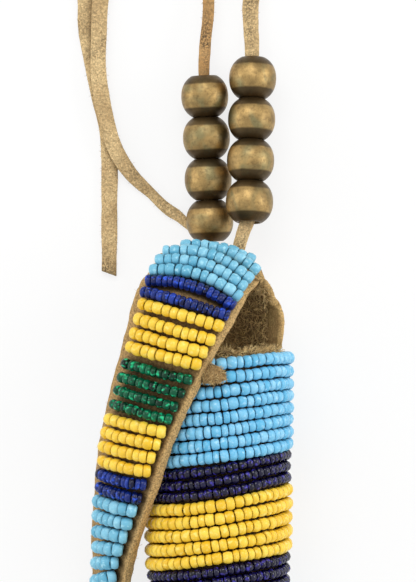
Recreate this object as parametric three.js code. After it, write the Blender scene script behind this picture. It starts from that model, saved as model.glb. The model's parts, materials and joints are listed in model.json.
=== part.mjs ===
// Beaded hide awl case, lying on its back.
// A closed hide tube is wound with strands of seed beads. The back half of its wall goes on past
// the mouth as a hood, which curls over and narrows into a long beaded lid flap that hangs down
// the left front. A carrying thong holds two stacks of brass beads, and a tie thong lies beside it.
// Millimetres. +Y runs along the tube to its mouth, +Z is up and the floor is z = 0.
// The origin is on the floor, under the first row of beads at the mouth.

import * as THREE from "three";
import { mergeVertices } from "three/addons/utils/BufferGeometryUtils.js";

// Hide tube
const MOUTH_BORE_RADIUS = 8.95;
const TOE_BORE_RADIUS = 7.6;
const HIDE_THICKNESS = 1.6;
const RIM_REVEAL = 0.3; // bare hide above the first row of beads
const TOE_REVEAL = 2.4; // bare hide below the last row of beads
const TOE_DOME = 3.0; // how far the sewn toe bulges out
const TUBE_SIDES = 16;

// Seed beads
const SEED_DIAMETER = 2.25; // light blue and yellow
const DARK_SEED_DIAMETER = 1.9; // navy, cobalt and green
const SEAT_GAP = 0.3; // between a strand and the hide, and between neighbouring pieces
const STRAND_GAP = 0.05; // between strands wound side by side
const STRAND_GROOVE = 0.4; // share of a strand's height left at the groove between two strands
const STRAND_CROWN = 0.44; // share of a strand's pitch that its crown takes up
const BAND_REPEATS = 3; // times that the dark, yellow and dark bands come round
const LIGHT_BLUE_STRANDS = 8;
const NAVY_STRANDS = 3;
const YELLOW_STRANDS = 5;
const MOUTH_SLANT = 3; // degrees, rise of the strands to the right at the mouth
const WOUND_SLANT = 8.5; // degrees, further down
const SLANT_RUN = 20; // length over which the slant grows

// Hood and lid flap
const LID_ROW_GAP = 0.18; // between rows of beads on the lid
const LID_ROW_START = 2.3; // middle of the flap's first row, from the fold
const LID_RIGHT_MARGIN = 1.5; // bare hide beside the rows
const LID_LEFT_MARGIN = 2.4;
const LID_END_MARGIN = 2.5; // bare hide below the last row
const HOOD_ROWS = 2; // rows behind the fold
const HOOD_ROW_INSET = 3.5; // each end of those rows stops short by this much more

// Brass beads
const BRASS_DIAMETER = 8.0;
const BRASS_BORE = 3.7;
const BRASS_LIP = 0.1; // width of the flat ring round the bore
const BRASS_GAP = 0.25; // between beads on the thong
const BRASS_COUNT = 4; // in each stack

// Thongs and lacing stub
const CARRY_THONG_WIDTH = 2.6;
const TIE_THONG_WIDTH = 2.0;
const THONG_THICKNESS = 1.0;
const STUB_LENGTH = 3.0;
const STUB_WIDTH = 3.4;

// Lengths and radii worked out from the sizes above
const RADIANS = Math.PI / 180;
const FLAT_SIDE = 1 / Math.cos(Math.PI / TUBE_SIDES); // puts the middle of each flat side at the true radius
const STRAND_PITCH = SEED_DIAMETER + STRAND_GAP;
const NAVY_PITCH = DARK_SEED_DIAMETER + STRAND_GAP;
const WRAP_TOP = STRAND_PITCH / 2;
const RIM_Y = WRAP_TOP + RIM_REVEAL;

const BANDS = [{ colour: "light_blue", strands: LIGHT_BLUE_STRANDS }];
for (let repeat = 0; repeat < BAND_REPEATS; repeat += 1) {
  BANDS.push({ colour: "navy", strands: NAVY_STRANDS });
  BANDS.push({ colour: "yellow", strands: YELLOW_STRANDS });
  BANDS.push({ colour: "navy", strands: NAVY_STRANDS });
  BANDS.push({ colour: "light_blue", strands: LIGHT_BLUE_STRANDS });
}

function strandDiameter(colour) {
  return ["navy", "cobalt", "green"].includes(colour) ? DARK_SEED_DIAMETER : SEED_DIAMETER;
}

function strandPitch(colour) {
  return colour === "navy" ? NAVY_PITCH : STRAND_PITCH;
}

const WRAP_LENGTH = BANDS.reduce((sum, band) => sum + band.strands * strandPitch(band.colour), 0);
const TOE_Y = WRAP_TOP - WRAP_LENGTH - TOE_REVEAL;

// The tube tapers evenly from its rim to its toe; past the rim it keeps the rim's radius
function boreRadius(y) {
  const share = Math.max(0, (RIM_Y - y) / (RIM_Y - TOE_Y));
  return MOUTH_BORE_RADIUS + (TOE_BORE_RADIUS - MOUTH_BORE_RADIUS) * share;
}

function hideRadius(y) {
  return boreRadius(y) + HIDE_THICKNESS;
}

function wrapRadius(y) {
  return hideRadius(y) + SEAT_GAP + SEED_DIAMETER;
}

// The beads rest on the floor all along, so the axis lies at the wrap's radius
function axisHeight(y) {
  return wrapRadius(y);
}

function slantAt(y) {
  const share = THREE.MathUtils.smoothstep(-y, 0, SLANT_RUN);
  return Math.tan((MOUTH_SLANT + (WOUND_SLANT - MOUTH_SLANT) * share) * RADIANS);
}

// Materials
function material(colour, roughness, metalness) {
  return new THREE.MeshStandardMaterial({ color: colour, roughness, metalness });
}

const smokedHide = material(0xa98c5f, 0.95, 0);
const thongHide = material(0xb09468, 0.95, 0);
const brass = material(0x8c7140, 0.38, 1);
const glass = {
  light_blue: material(0x6fb4e0, 0.45, 0),
  navy: material(0x191640, 0.2, 0),
  yellow: material(0xf0cf5c, 0.45, 0),
  cobalt: material(0x1d2a7a, 0.2, 0),
  green: material(0x0f5a41, 0.2, 0),
};

const awlCase = new THREE.Group();

function addPiece(name, geometry, finish) {
  const mesh = new THREE.Mesh(geometry, finish);
  mesh.name = name;
  awlCase.add(mesh);
  return mesh;
}

// Joins the seams that a three.js geometry leaves open
function closed(geometry) {
  geometry.deleteAttribute("normal");
  geometry.deleteAttribute("uv");
  const joined = mergeVertices(geometry, 1e-4);
  joined.computeVertexNormals();
  return joined;
}

// Moves every corner of a geometry to where the given function puts it
function reshape(geometry, place) {
  const corners = geometry.attributes.position;
  const corner = new THREE.Vector3();
  for (let i = 0; i < corners.count; i += 1) {
    corner.fromBufferAttribute(corners, i);
    const moved = place(corner);
    corners.setXYZ(i, moved.x, moved.y, moved.z);
  }
  return geometry;
}

// Turns a profile of [radius, y] round the tube's axis, one flat side down
function turnOnTube(profile, slant) {
  const points = profile.map(([radius, y]) => new THREE.Vector2(radius * FLAT_SIDE, y));
  const turned = new THREE.LatheGeometry(points, TUBE_SIDES, Math.PI / TUBE_SIDES);
  return closed(
    reshape(turned, ({ x, y, z }) => new THREE.Vector3(x, y + slant(y) * x, z + axisHeight(y))),
  );
}

// Hide tube, open at the mouth, with a domed toe
function addTube() {
  const dome = new THREE.EllipseCurve(0, TOE_Y, hideRadius(TOE_Y), TOE_DOME, -Math.PI / 2, 0);
  const outside = dome.getPoints(4).map((point) => [Math.max(point.x, 0), point.y]);
  outside[0][0] = 0;
  const profile = [
    ...outside,
    [hideRadius(RIM_Y), RIM_Y],
    [boreRadius(RIM_Y), RIM_Y],
    [boreRadius(TOE_Y), TOE_Y],
    [0, TOE_Y - TOE_DOME + HIDE_THICKNESS],
  ];
  addPiece("hide_tube", turnOnTube(profile, () => 0), smokedHide);
}

// Strands of seed beads wound round the tube, one ridged sleeve for each band of colour
function addWrap() {
  let top = WRAP_TOP;
  BANDS.forEach(({ colour, strands }, index) => {
    const pitch = strandPitch(colour);
    const height = strandDiameter(colour);
    const bottom = top - strands * pitch;
    const seat = (y) => hideRadius(y) + SEAT_GAP;
    const low = bottom + SEAT_GAP / 2;
    const high = top - SEAT_GAP / 2;
    const profile = [[seat(low), low]];
    for (let strand = strands - 1; strand >= 0; strand -= 1) {
      const middle = top - (strand + 0.5) * pitch;
      const foot = Math.max(middle - pitch / 2, low);
      profile.push([seat(foot) + height * STRAND_GROOVE, foot]);
      for (const side of [-1, 1]) {
        const y = middle + (side * pitch * STRAND_CROWN) / 2;
        profile.push([seat(y) + height, y]);
      }
    }
    profile.push([seat(high) + height * STRAND_GROOVE, high], [seat(high), high], [seat(low), low]);
    const number = String(index + 1).padStart(2, "0");
    addPiece(`wrap_${number}_${colour}`, turnOnTube(profile, slantAt), glass[colour]);
    top = bottom;
  });
}

// The lid strip: stations along the middle of its flesh side, from the hood's root to past the tip.
// angle and rise place the point round the tube's axis, in degrees (0 right, 90 front) and in
// millimetres out from the wrap. turn is how far a row runs off +X in plan and lean how far its
// right end is raised, in degrees. curl is the angle that the strip bends through across its width,
// and skew how much nearer the tip a row's left end is sewn than its right end.
const ROOT_RISE = -(HIDE_THICKNESS + SEAT_GAP + SEED_DIAMETER);
const HALF_TURN = 180;
const LID_STATIONS = [
  { y: RIM_Y + SEAT_GAP, angle: 270, rise: ROOT_RISE, turn: 0, lean: 0, width: 28.1, curl: HALF_TURN, skew: 0 },
  { y: 7.5, angle: 270, rise: ROOT_RISE + 0.1, turn: 0, lean: 0, width: 28.5, curl: 165, skew: 0 },
  { y: 13.4, angle: 267, rise: -6.4, turn: -5, lean: 0, width: 23.5, curl: 130, skew: 0 },
  { y: 16.5, angle: 115, rise: -9.0, turn: -11, lean: 3, width: 18.4, curl: 64, skew: 0 },
  { y: 11.1, angle: 114.5, rise: -1.5, turn: -14, lean: 12, width: 18.4, curl: 50, skew: 0.4 },
  { y: 7.6, angle: 118.5, rise: 0.5, turn: -13, lean: 18, width: 17.8, curl: 44, skew: 1.8 },
  { y: -0.5, angle: 131.5, rise: 1.4, turn: -11, lean: 28, width: 16.3, curl: 40, skew: 3.4 },
  { y: -9.5, angle: 145.5, rise: 2.6, turn: -11, lean: 36, width: 15.4, curl: 38, skew: 3.4 },
  { y: -18.9, angle: 159, rise: 3.6, turn: -10, lean: 43, width: 14.4, curl: 38, skew: 4.2 },
  { y: -30.3, angle: 179, rise: 5.0, turn: -8, lean: 55, width: 12.8, curl: 38, skew: 6.0 },
  { y: -38, angle: 189.5, rise: 6.0, turn: -7, lean: 61, width: 11.8, curl: 38, skew: 7.0 },
  { y: -48, angle: 197, rise: 6.6, turn: -6, lean: 65, width: 11.4, curl: 38, skew: 7.0 },
];
const FOLD_STATION = 3;
const LAST_STATION = LID_STATIONS.length - 1;

function stationPoint({ angle, rise, y }) {
  const radius = wrapRadius(y) + rise;
  const turned = angle * RADIANS;
  return new THREE.Vector3(radius * Math.cos(turned), y, axisHeight(y) + radius * Math.sin(turned));
}

function stationAcross({ turn, lean }) {
  const level = Math.cos(lean * RADIANS);
  const plan = turn * RADIANS;
  return new THREE.Vector3(level * Math.cos(plan), level * Math.sin(plan), Math.sin(lean * RADIANS));
}

function smoothThrough(points) {
  return new THREE.CatmullRomCurve3(points, false, "catmullrom", 0.5);
}

const lidMiddle = smoothThrough(LID_STATIONS.map(stationPoint));
// the strip runs straight on past the last station, at the length of the last step
const [beforeLast, last] = lidMiddle.points.slice(-2);
const lastStep = last.distanceTo(beforeLast);
const lidAcross = smoothThrough(LID_STATIONS.map(stationAcross));
const lidSection = smoothThrough(
  LID_STATIONS.map(({ width, curl, skew }) => new THREE.Vector3(width, curl * RADIANS, skew)),
);

// A point of the lid strip: station along it, share across it from left to right, and height
// out from its flesh side
function lidPoint(station, share, height) {
  const t = Math.min(station / LAST_STATION, 1);
  const tangent = lidMiddle.getTangent(t);
  const normal = tangent.clone().cross(lidAcross.getPoint(t)).normalize();
  const across = normal.clone().cross(tangent);
  const { x: width, y: curl } = lidSection.getPoint(t);
  const radius = width / curl;
  const bend = (share - 0.5) * curl;
  const beyond = Math.max(station - LAST_STATION, 0) * lastStep;
  return lidMiddle
    .getPoint(t)
    .addScaledVector(tangent, beyond)
    .addScaledVector(across, (radius + height) * Math.sin(bend))
    .addScaledVector(normal, (radius + height) * Math.cos(bend) - radius);
}

const LID_ROW_PITCH = SEED_DIAMETER + LID_ROW_GAP;
const BEAD_LINE = HIDE_THICKNESS + SEAT_GAP + SEED_DIAMETER / 2;
const STATION_STEP = 0.01;

// Lengths along the beadwork from the fold, one for each small step of station, towards the tip or the
// root. Where the strip turns, the length is counted on the side where the rows crowd together most.
function walkFromFold(direction, lastStation) {
  const shares = [0.06, 0.5, 0.94];
  const pointsAt = (station) => shares.map((share) => lidPoint(station, share, BEAD_LINE));
  const lengths = [0];
  const steps = Math.abs(lastStation - FOLD_STATION) / STATION_STEP;
  let here = pointsAt(FOLD_STATION);
  for (let step = 1; step <= steps; step += 1) {
    const next = pointsAt(FOLD_STATION + direction * step * STATION_STEP);
    const strides = next.map((point, index) => point.distanceTo(here[index]));
    lengths.push(lengths[step - 1] + Math.min(...strides));
    here = next;
  }
  return lengths;
}

const SPARE_STATIONS = 6; // the strip can run on past its last station by this many steps
const lengthsToRoot = walkFromFold(-1, 0);
const lengthsToTip = walkFromFold(1, LAST_STATION + SPARE_STATIONS);

// The station that lies a given length from the fold, towards the tip if positive
function stationAfter(length) {
  const lengths = length < 0 ? lengthsToRoot : lengthsToTip;
  const steps = lengths.findIndex((walked) => walked >= Math.abs(length));
  return FOLD_STATION + Math.sign(length) * steps * STATION_STEP;
}

const LID_BANDS = [
  { colour: "light_blue", rows: 3 },
  { colour: "cobalt", rows: 2 },
  { colour: "yellow", rows: 4 },
  { colour: "green", rows: 4 },
  { colour: "yellow", rows: 4 },
  { colour: "cobalt", rows: 2 },
  { colour: "light_blue", rows: 8 },
];
const LID_ROWS = LID_BANDS.flatMap(({ colour, rows }) => Array(rows).fill(colour));

// A stretch of the hide strip, as a box bent along the lid's stations
function stripOfHide(from, to, stepsAcross, stepsAlong) {
  const box = new THREE.BoxGeometry(1, 1, 1, stepsAcross, stepsAlong, 1);
  return closed(
    reshape(box, ({ x, y, z }) => {
      const station = from + (to - from) * (y + 0.5);
      return lidPoint(station, 0.5 - x, HIDE_THICKNESS * (z + 0.5));
    }),
  );
}

function addLid() {
  const gap = SEAT_GAP / 2;
  const tip = stationAfter(LID_ROWS.length * LID_ROW_PITCH + LID_END_MARGIN);
  addPiece("hood_hide", stripOfHide(0, stationAfter(-gap), 8, 9), smokedHide);
  addPiece("flap_hide", stripOfHide(stationAfter(gap), tip, 8, 22), smokedHide);
}

// One row of beads sewn across the lid, its middle a given length from the fold
function addLidRow(name, length, colour, inset) {
  const station = stationAfter(length);
  const { x: width, z: skew } = lidSection.getPoint(Math.min(station / LAST_STATION, 1));
  const diameter = strandDiameter(colour);
  const height = HIDE_THICKNESS + SEAT_GAP + diameter / 2;
  const left = (LID_LEFT_MARGIN + inset) / width;
  const right = 1 - (LID_RIGHT_MARGIN + inset) / width;
  const points = [];
  const spans = 4;
  for (let span = 0; span <= spans; span += 1) {
    const share = left + ((right - left) * span) / spans;
    points.push(lidPoint(stationAfter(length + skew * (0.5 - share)), share, height));
  }
  const section = new THREE.Shape(new THREE.EllipseCurve(0, 0, diameter / 2, diameter / 2).getPoints(6));
  const row = new THREE.ExtrudeGeometry(section, {
    steps: spans,
    extrudePath: smoothThrough(points),
    bevelEnabled: false,
  });
  addPiece(name, closed(row), glass[colour]);
}

function addLidRows() {
  for (let row = 1; row <= HOOD_ROWS; row += 1) {
    const length = -(row - 0.5) * LID_ROW_PITCH;
    addLidRow(`hood_row_${row}_light_blue`, length, "light_blue", HOOD_ROW_INSET);
  }
  LID_ROWS.forEach((colour, index) => {
    const number = String(index + 1).padStart(2, "0");
    addLidRow(`flap_row_${number}_${colour}`, LID_ROW_START + index * LID_ROW_PITCH, colour, 0);
  });
}

// Brass beads: balls with their ends cut square round the bore
function brassBead() {
  const radius = BRASS_DIAMETER / 2;
  const bore = BRASS_BORE / 2;
  const end = Math.acos((bore + BRASS_LIP) / radius);
  const ball = new THREE.EllipseCurve(0, 0, radius, radius, -end, end).getPoints(6);
  const top = ball[ball.length - 1].y;
  const profile = [...ball, new THREE.Vector2(bore, top), new THREE.Vector2(bore, -top), ball[0].clone()];
  return closed(new THREE.LatheGeometry(profile, 12, Math.PI / 12));
}

const BRASS_END = BRASS_BORE / 2 + BRASS_LIP;
const BRASS_HEIGHT = 2 * Math.sqrt((BRASS_DIAMETER / 2) ** 2 - BRASS_END ** 2);

// Each stack runs from its lowest bead, the one next to the hood, towards its highest
const STACKS = {
  left: {
    lowest: new THREE.Vector3(-1.5, 23.8, BRASS_DIAMETER / 2),
    towards: new THREE.Vector3(-0.9, 22, 0),
  },
  right: {
    lowest: new THREE.Vector3(5.35, 27, BRASS_DIAMETER / 2 + 4.5),
    towards: new THREE.Vector3(0.6, 22, -2.9),
  },
};

function addBrassBeads() {
  for (const [side, { lowest, towards }] of Object.entries(STACKS)) {
    const along = towards.clone().normalize();
    for (let count = 0; count < BRASS_COUNT; count += 1) {
      const bead = addPiece(`brass_bead_${side}_${count + 1}`, brassBead(), brass);
      bead.position.copy(lowest).addScaledVector(along, count * (BRASS_HEIGHT + BRASS_GAP));
      bead.quaternion.setFromUnitVectors(new THREE.Vector3(0, 1, 0), along);
    }
  }
}

// Carrying thong: out of the hood's back, up through the right stack, round its loop on the floor
// and down through the left stack to the hood again
const CARRY_ROUTE = [
  [3, 17, 10.15],
  [3.7, 19.8, 9.8],
  [4.4, 22.1, 9.3],
  [5.15, 24.2, 8.9],
  [5.34, 26.6, 8.55],
  [5.41, 29.2, 8.21],
  [5.48, 31.8, 7.87],
  [5.56, 34.9, 7.46],
  [5.65, 38, 7.05],
  [5.85, 52.5, 5.14],
  [5.65, 57.5, 4.5],
  [5.7, 62.5, 3.6],
  [7.3, 70, 1.8],
  [9.2, 77.5, 0.8],
  [10, 84.5, 0.6],
  [7.66, 90.2, 0.6],
  [2, 92.5, 0.6],
  [-3.66, 90.2, 0.6],
  [-6, 84.5, 0.6],
  [-5.1, 77.5, 0.7],
  [-2.9, 70, 1.4],
  [-1.7, 62.5, 2.6],
  [-2.35, 54, 3.75],
  [-2.5, 48.6, 4],
  [-2.06, 37.5, 4],
  [-1.52, 24.4, 4],
  [-1.4, 20.4, 4.05],
  [-1.4, 18, 4.6],
  [-1.4, 15.8, 5.4],
];

// Tie thong: from under the wrap at the tube's back, along the floor under the lowest left bead,
// up beside the beads, over itself, round its loop and back to a cut free end
const TIE_ROUTE = [
  [-1.9, 1.35, 0.6],
  [-1.9, 6, 0.6],
  [-2, 11, 0.6],
  [-2.2, 16, 0.6],
  [-2.7, 19.2, 0.6],
  [-3.6, 21.1, 0.6],
  [-4.9, 22.7, 0.6],
  [-6.9, 24.6, 0.6],
  [-9.35, 26.3, 0.6],
  [-12, 28.9, 0.65],
  [-14.8, 31.5, 0.95],
  [-17, 34.5, 1.6],
  [-18.5, 37.6, 1.8],
  [-19.4, 40.9, 1.8],
  [-20.4, 45.3, 1.8],
  [-21, 50.5, 1.8],
  [-20.9, 56, 1.8],
  [-20.6, 62.6, 1.7],
  [-19.3, 68, 1.4],
  [-17.2, 72, 1.1],
  [-16.4, 76, 0.8],
  [-18, 80, 0.6],
  [-22, 81.7, 0.6],
  [-26, 80, 0.6],
  [-27.6, 76, 0.6],
  [-26.8, 72, 0.6],
  [-24.7, 68, 0.6],
  [-23.3, 62.6, 0.6],
  [-23.2, 57.3, 0.6],
  [-22.3, 52.1, 0.6],
  [-21.1, 46.8, 0.6],
  [-19.7, 40.7, 0.6],
  [-19.1, 34.6, 0.6],
  [-19.1, 27.5, 0.6],
  [-19.1, 20.5, 0.6],
  [-19.15, 15.9, 0.6],
];

// A flat strip of hide along a route, its broad side level
function thong(route, width, steps) {
  const half = width / 2;
  const thick = THONG_THICKNESS / 2;
  const chamfer = thick / 2;
  const section = new THREE.Shape([
    new THREE.Vector2(thick, half - chamfer),
    new THREE.Vector2(thick - chamfer, half),
    new THREE.Vector2(chamfer - thick, half),
    new THREE.Vector2(-thick, half - chamfer),
    new THREE.Vector2(-thick, chamfer - half),
    new THREE.Vector2(chamfer - thick, -half),
    new THREE.Vector2(thick - chamfer, -half),
    new THREE.Vector2(thick, chamfer - half),
  ]);
  const path = smoothThrough(route.map((point) => new THREE.Vector3(...point)));
  return closed(new THREE.ExtrudeGeometry(section, { steps, extrudePath: path, bevelEnabled: false }));
}

function addThongs() {
  addPiece("carrying_thong", thong(CARRY_ROUTE, CARRY_THONG_WIDTH, 40), thongHide);
  addPiece("tie_thong", thong(TIE_ROUTE, TIE_THONG_WIDTH, 40), thongHide);
}

// Pointed end of a lacing thong, flat on the front of the wrap beside the flap's edge
function addLacingStub() {
  const outline = new THREE.Shape();
  outline.moveTo(0, STUB_WIDTH / 2);
  outline.quadraticCurveTo(STUB_LENGTH * 0.7, STUB_WIDTH / 2, STUB_LENGTH, -STUB_WIDTH * 0.15);
  outline.quadraticCurveTo(STUB_LENGTH * 0.6, -STUB_WIDTH / 2, 0, -STUB_WIDTH / 2);
  outline.closePath();
  const stub = new THREE.ExtrudeGeometry(outline, {
    depth: THONG_THICKNESS,
    bevelEnabled: false,
    curveSegments: 4,
  });
  const mesh = addPiece("lacing_stub", closed(stub), thongHide);
  const middleY = -2.7;
  mesh.position.set(-1.2, middleY, axisHeight(middleY) + wrapRadius(middleY) + SEAT_GAP);
}

addTube();
addWrap();
addLid();
addLidRows();
addBrassBeads();
addThongs();
addLacingStub();

export default awlCase;
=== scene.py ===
"""Beaded awl case: the visual model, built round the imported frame.

Every length in the frame is in metres. +Y runs along the tube to its mouth, +Z is up, and the
case lies on its back on the floor, as in the photograph.
"""

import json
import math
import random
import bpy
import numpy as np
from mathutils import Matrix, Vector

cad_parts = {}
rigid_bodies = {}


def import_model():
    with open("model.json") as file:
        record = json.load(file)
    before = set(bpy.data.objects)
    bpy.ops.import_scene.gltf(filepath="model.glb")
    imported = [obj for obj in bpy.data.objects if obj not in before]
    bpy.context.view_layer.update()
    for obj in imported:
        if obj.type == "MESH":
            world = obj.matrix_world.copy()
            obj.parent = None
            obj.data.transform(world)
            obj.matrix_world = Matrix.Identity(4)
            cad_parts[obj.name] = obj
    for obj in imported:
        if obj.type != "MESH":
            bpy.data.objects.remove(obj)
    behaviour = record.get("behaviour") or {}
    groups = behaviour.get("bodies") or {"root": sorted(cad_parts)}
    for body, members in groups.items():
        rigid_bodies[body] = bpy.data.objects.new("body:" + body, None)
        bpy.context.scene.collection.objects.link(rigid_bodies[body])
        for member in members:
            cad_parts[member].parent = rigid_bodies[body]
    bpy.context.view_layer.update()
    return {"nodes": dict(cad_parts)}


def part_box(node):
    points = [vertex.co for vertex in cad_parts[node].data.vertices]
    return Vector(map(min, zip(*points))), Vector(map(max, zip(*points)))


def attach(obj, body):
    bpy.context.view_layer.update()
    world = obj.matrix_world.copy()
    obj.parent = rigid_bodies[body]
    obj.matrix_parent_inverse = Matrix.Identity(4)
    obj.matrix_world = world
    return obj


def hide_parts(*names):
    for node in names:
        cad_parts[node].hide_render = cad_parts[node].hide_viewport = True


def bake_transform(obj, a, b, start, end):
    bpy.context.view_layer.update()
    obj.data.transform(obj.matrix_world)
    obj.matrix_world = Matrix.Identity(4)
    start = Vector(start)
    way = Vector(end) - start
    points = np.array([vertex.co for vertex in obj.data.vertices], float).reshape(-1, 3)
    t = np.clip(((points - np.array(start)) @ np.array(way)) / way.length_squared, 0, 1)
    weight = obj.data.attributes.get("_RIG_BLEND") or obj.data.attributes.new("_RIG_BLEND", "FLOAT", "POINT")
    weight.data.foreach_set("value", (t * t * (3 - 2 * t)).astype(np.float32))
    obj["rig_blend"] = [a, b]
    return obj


bl_info = {
    "name": "Beaded awl case",
    "version": (1, 0, 0),
    "blender": (4, 5, 0),
    "location": "View3D > Sidebar > Awl case",
    "description": "Builds a beaded hide awl case with brass beads and thongs round its packed frame",
    "category": "Object",
}

import bmesh
import bpy
from mathutils import Matrix, Vector, noise
from mathutils.bvhtree import BVHTree

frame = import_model()

MM = 0.001
THREAD_RADIUS = 0.2 * MM
HIDE_WALL = 1.6 * MM
UP = Vector((0, 0, 1))


def linear(hex_colour):
    """An sRGB hex colour as linear red, green, blue and alpha."""
    channels = []
    for start in (0, 2, 4):
        value = int(hex_colour[start : start + 2], 16) / 255
        channels.append(value / 12.92 if value <= 0.04045 else ((value + 0.055) / 1.055) ** 2.4)
    return (*channels, 1.0)


def colour_property(name, description, hex_colour):
    return bpy.props.FloatVectorProperty(
        name=name, description=description, subtype="COLOR", size=4, min=0, max=1, default=linear(hex_colour)
    )


def length_property(name, description, millimetres):
    return bpy.props.FloatProperty(
        name=name, description=description, unit="LENGTH", subtype="DISTANCE", min=0, default=millimetres * MM
    )


class AwlCaseBeads(bpy.types.PropertyGroup):
    """Seed beads on the tube and the lid"""

    seed_diameter: length_property("Seed diameter", "Light blue and yellow beads, across", 2.25)
    seed_length: length_property("Seed length", "Light blue and yellow beads, along the strand", 1.46)
    dark_diameter: length_property("Dark diameter", "Navy and green beads, across", 1.9)
    dark_length: length_property("Dark length", "Navy and green beads, along the strand", 1.2)
    cobalt_diameter: length_property("Cobalt diameter", "Cobalt beads, across", 2.15)
    cobalt_length: length_property("Cobalt length", "Cobalt beads, along the strand", 1.0)
    strand_gap: length_property("Strand gap", "Between strands wound side by side", 0.05)
    light_blue: colour_property("Light blue", "Opaque light blue glass, on the tube", "66c4ef")
    sky_blue: colour_property("Sky blue", "Opaque, slightly greener blue glass, on the lid", "5db5d6")
    yellow: colour_property("Yellow", "Opaque yellow glass", "ffcd26")
    navy: colour_property("Navy", "Dark navy glass", "060418")
    cobalt: colour_property("Cobalt", "Deep blue glass", "060c36")
    green: colour_property("Green", "Dark green glass", "032618")


class AwlCaseHide(bpy.types.PropertyGroup):
    """Smoked hide and thongs"""

    hide_colour: colour_property("Hide", "Smoked hide, napped side", "bd9a66")
    thong_colour: colour_property("Thong", "Cut strips of hide", "e4c592")
    carry_width: length_property("Carrying thong width", "Strip through the brass beads", 2.5)
    tie_width: length_property("Tie thong width", "Strip that lies beside the beads", 2.85)
    thong_thickness: length_property("Thong thickness", "Both strips", 1.2)


class AwlCaseBrass(bpy.types.PropertyGroup):
    """Brass beads"""

    diameter: length_property("Diameter", "Across the ball", 8.2)
    height: length_property("Height", "Between the flat ends", 7.15)
    bore: length_property("Bore", "Across the hole", 3.7)
    colour: colour_property("Brass", "Tarnished brass, where it is rubbed bright", "bb9b62")


class AwlCaseStage(bpy.types.PropertyGroup):
    """Camera, floor and light"""

    camera_height: length_property("Camera height", "Above the floor", 600)
    view_height: length_property("View height", "Height of the picture at the brass beads", 101.2)
    floor_colour: colour_property("Floor", "Plain pale floor", "f7f7f6")
    sky_strength: bpy.props.FloatProperty(
        name="Sky strength", description="Light from the soft white dome", min=0, default=0.84
    )
    softbox_power: bpy.props.FloatProperty(
        name="Softbox power", description="Shared out to the softboxes", unit="POWER", min=0, default=2.6
    )


# Nodes and materials


def add_node(tree, kind, inputs=None, **settings):
    """Adds a node with its settings, and links or sets its inputs."""
    node = tree.nodes.new(kind)
    for name, value in settings.items():
        setattr(node, name, value)
    for socket, value in (inputs or {}).items():
        if isinstance(value, bpy.types.NodeSocket):
            tree.links.new(value, node.inputs[socket])
        else:
            node.inputs[socket].default_value = value
    return node


def empty_tree(owner):
    """The node tree of a material or world, emptied."""
    owner.use_nodes = True
    owner.node_tree.nodes.clear()
    return owner.node_tree


def start_material(name):
    """The empty node tree of a new material, and the Object coordinates of the piece."""
    tree = empty_tree(bpy.data.materials.new(name))
    return tree, add_node(tree, "ShaderNodeTexCoord").outputs["Object"]


def finish_material(tree, inputs):
    """Puts the finish on the piece."""
    shader = add_node(tree, "ShaderNodeBsdfPrincipled", inputs)
    add_node(tree, "ShaderNodeOutputMaterial", {"Surface": shader.outputs["BSDF"]})


def per_size(millimetres):
    """Noise scale whose features are about this size."""
    return 1 / (millimetres * MM)


def shade(colour, factor):
    return (*(min(channel * factor, 1) for channel in colour[:3]), 1.0)


def field(tree, place, size, detail, roughness=0.5, distortion=0.0):
    """Noise whose features are about this size in mm, as a value from 0 to 1."""
    inputs = {"Vector": place, "Scale": per_size(size), "Detail": detail}
    inputs |= {"Roughness": roughness, "Distortion": distortion}
    return add_node(tree, "ShaderNodeTexNoise", inputs).outputs["Fac"]


def attribute(tree, name):
    return add_node(tree, "ShaderNodeAttribute", attribute_name=name).outputs["Fac"]


def ranged(tree, value, span, result, **settings):
    """A value taken from one span to another, and held at its ends."""
    inputs = {"Value": value, 1: span[0], 2: span[1], 3: result[0], 4: result[1]}
    return add_node(tree, "ShaderNodeMapRange", inputs, **settings).outputs[0]


def blended(tree, factor, first, second):
    """A colour that goes from the first to the second with a factor."""
    inputs = {"Factor": factor, 6: first, 7: second}
    return add_node(tree, "ShaderNodeMix", inputs, data_type="RGBA").outputs[2]


def combined(tree, operation, *values, **settings):
    """The result of a mathematical operation on values."""
    settings["operation"] = operation
    return add_node(tree, "ShaderNodeMath", dict(enumerate(values)), **settings).outputs[0]


def hollowness(tree, reach, samples):
    """How open a place is within a reach in mm: 1 in the open and less in a hollow."""
    inputs = {"Distance": reach * MM}
    return add_node(tree, "ShaderNodeAmbientOcclusion", inputs, samples=samples).outputs["AO"]


def relief(tree, height, strength, depth):
    """Normals that rise and fall with a height, to a depth in mm."""
    inputs = {"Height": height, "Strength": strength, "Distance": depth * MM}
    return add_node(tree, "ShaderNodeBump", inputs).outputs["Normal"]


def seed_glass(name, colour, pale, glint, roughness, shine):
    """Drawn and tumbled glass seed beads: each bead has its own tone, the skin is smooth and faintly
    pitted, an opaque one has a soft waxy gloss, and each has small painted glints within it, which show
    most on a dark one. Shade is painted into the grooves between the beads."""
    tree, place = start_material(name)
    pits = field(tree, place, 0.22, 2)
    toned = blended(tree, attribute(tree, "tone"), shade(colour, 0.88), pale)
    worn = ranged(tree, field(tree, place, 0.9, 3), (0.45, 0.8), (0.0, 0.3))
    rubbed = blended(tree, worn, toned, shade(colour, 0.62))
    # painted glints: small patches of the glint colour, lighter than the glass
    within = ranged(tree, field(tree, place, 0.7, 1), (0.56, 0.72), (0.0, 0.9))
    lit = blended(tree, within, rubbed, glint)
    # painted shade: the colour darkens towards black in the grooves between the beads, where little is open
    groove_shade = ranged(tree, hollowness(tree, 0.5, 4), (0.2, 0.72), (0.85, 0.0))
    finish_material(
        tree,
        {
            "Base Color": blended(tree, groove_shade, lit, shade(colour, 0.16)),
            "Roughness": ranged(tree, pits, (0.3, 0.75), (roughness * 0.85, roughness * 1.25)),
            "Normal": relief(tree, pits, 0.25, 0.05),
            "Specular IOR Level": shine,
        },
    )


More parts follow.
